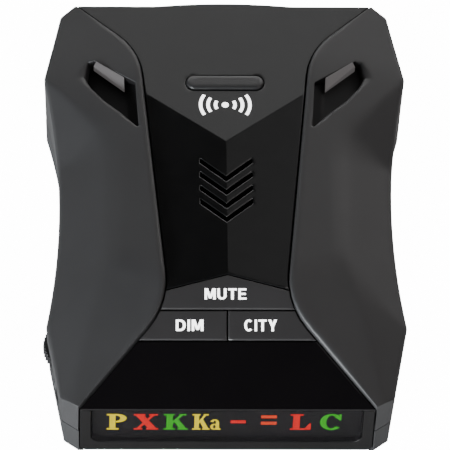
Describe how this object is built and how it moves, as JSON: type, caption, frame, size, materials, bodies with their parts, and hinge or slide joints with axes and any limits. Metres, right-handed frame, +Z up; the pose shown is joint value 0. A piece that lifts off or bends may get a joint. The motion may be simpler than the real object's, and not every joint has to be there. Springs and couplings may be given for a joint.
{
  "type": "radar detector",
  "caption": "Compact dashboard radar and laser detector with winged matte covers, a gloss ridged spine, function keys, a band display, a bracket slot and a thumbwheel.",
  "frame": {"origin": "middle of the footprint, on the plane that the unit rests on", "axes": "+Y towards the antenna end (the direction of travel), +X to the driver's right, +Z up; the display faces -Y"},
  "size_m": [0.078, 0.098, 0.03],
  "materials": {
    "wing_plastic": "fine-textured matte",
    "base_plastic": "fine-textured matte",
    "spine_gloss": "satin to gloss, black",
    "hood_gloss": "high gloss, black",
    "bezel_plastic": "satin",
    "key_plastic": "satin",
    "plunger_plastic": "moulded",
    "switch_steel": "pressed",
    "window_smoke": "smoked, clear gloss",
    "legend_film": "printed film",
    "guide_white": "moulded",
    "board_green": "solder mask",
    "component_black": "moulded",
    "led_white": "moulded lens",
    "contact_brass": "plated",
    "shield_steel": "tinned",
    "horn_zinc": "die-cast",
    "screw_steel": "black-zinc plated",
    "grip_rubber": "non-slip",
    "plate_silver": "blank foil label",
    "alert_grey": "translucent light grey",
    "panel_smoke": "smoked, gloss",
    "laser_glass": "deep red, clear gloss",
    "socket_plastic": "moulded",
    "release_plastic": "satin",
    "spring_steel": "drawn wire",
    "basket_steel": "pressed",
    "magnet_ferrite": "sintered",
    "cone_film": "pulp cone",
    "mesh_cloth": "woven dust cloth",
    "pot_steel": "pressed",
    "shaft_plastic": "moulded",
    "wheel_plastic": "knurled",
    "jack_plastic": "moulded"
  },
  "bodies": {
    "housing": {"band_legend": "legend_film", "board_components": "component_black", "board_link": "contact_brass", "board_screws": "screw_steel", "bracket_socket": "socket_plastic", "centre_cover": "spine_gloss", "display_bezel": "bezel_plastic", "display_board": "board_green", "display_hood": "hood_gloss", "display_leds": "led_white", "display_window": "window_smoke", "front_panel": "panel_smoke", "grip_strips": "grip_rubber", "horn_antenna": "horn_zinc", "housing_screws": "screw_steel", "key_switches": "switch_steel", "laser_lens": "laser_glass", "laser_sensor": "component_black", "left_alert_lens": "alert_grey", "left_wing_cover": "wing_plastic", "light_guide": "guide_white", "lower_housing": "base_plastic", "main_board": "board_green", "power_jack": "jack_plastic", "rating_plate": "plate_silver", "release_spring": "spring_steel", "right_alert_lens": "alert_grey", "right_wing_cover": "wing_plastic", "shield_can": "shield_steel", "speaker_cone": "cone_film", "speaker_frame": "basket_steel", "speaker_magnet": "magnet_ferrite", "speaker_mesh": "mesh_cloth", "volume_pot": "pot_steel"},
    "mute": {"mute_key": "key_plastic", "mute_plunger": "plunger_plastic"},
    "dim": {"dim_key": "key_plastic", "dim_plunger": "plunger_plastic"},
    "city": {"city_key": "key_plastic", "city_plunger": "plunger_plastic"},
    "release": {"release_button": "release_plastic", "release_latch": "socket_plastic"},
    "volume": {"volume_wheel": "wheel_plastic", "wheel_screw": "screw_steel", "pot_shaft": "shaft_plastic"}
  },
  "joints": [
    {"name": "mute_press", "type": "slide", "parent": "housing", "child": "mute", "axis": [0, 0, -1], "range_m": [0, 0.0006], "stiffness_N_per_m": 700},
    {"name": "dim_press", "type": "slide", "parent": "housing", "child": "dim", "axis": [0, 0, -1], "range_m": [0, 0.0006], "stiffness_N_per_m": 700},
    {"name": "city_press", "type": "slide", "parent": "housing", "child": "city", "axis": [0, 0, -1], "range_m": [0, 0.0006], "stiffness_N_per_m": 700},
    {"name": "release_press", "type": "slide", "parent": "housing", "child": "release", "axis": [0, 0, -1], "range_m": [0, 0.001], "stiffness_N_per_m": 900, "deforming": ["release_spring"]},
    {"name": "volume_turn", "type": "hinge", "parent": "housing", "child": "volume", "pos_m": [-0.0324, -0.0296, 0.0104], "axis": [0, 0, 1], "range_deg": [-140, 140]}
  ]
}
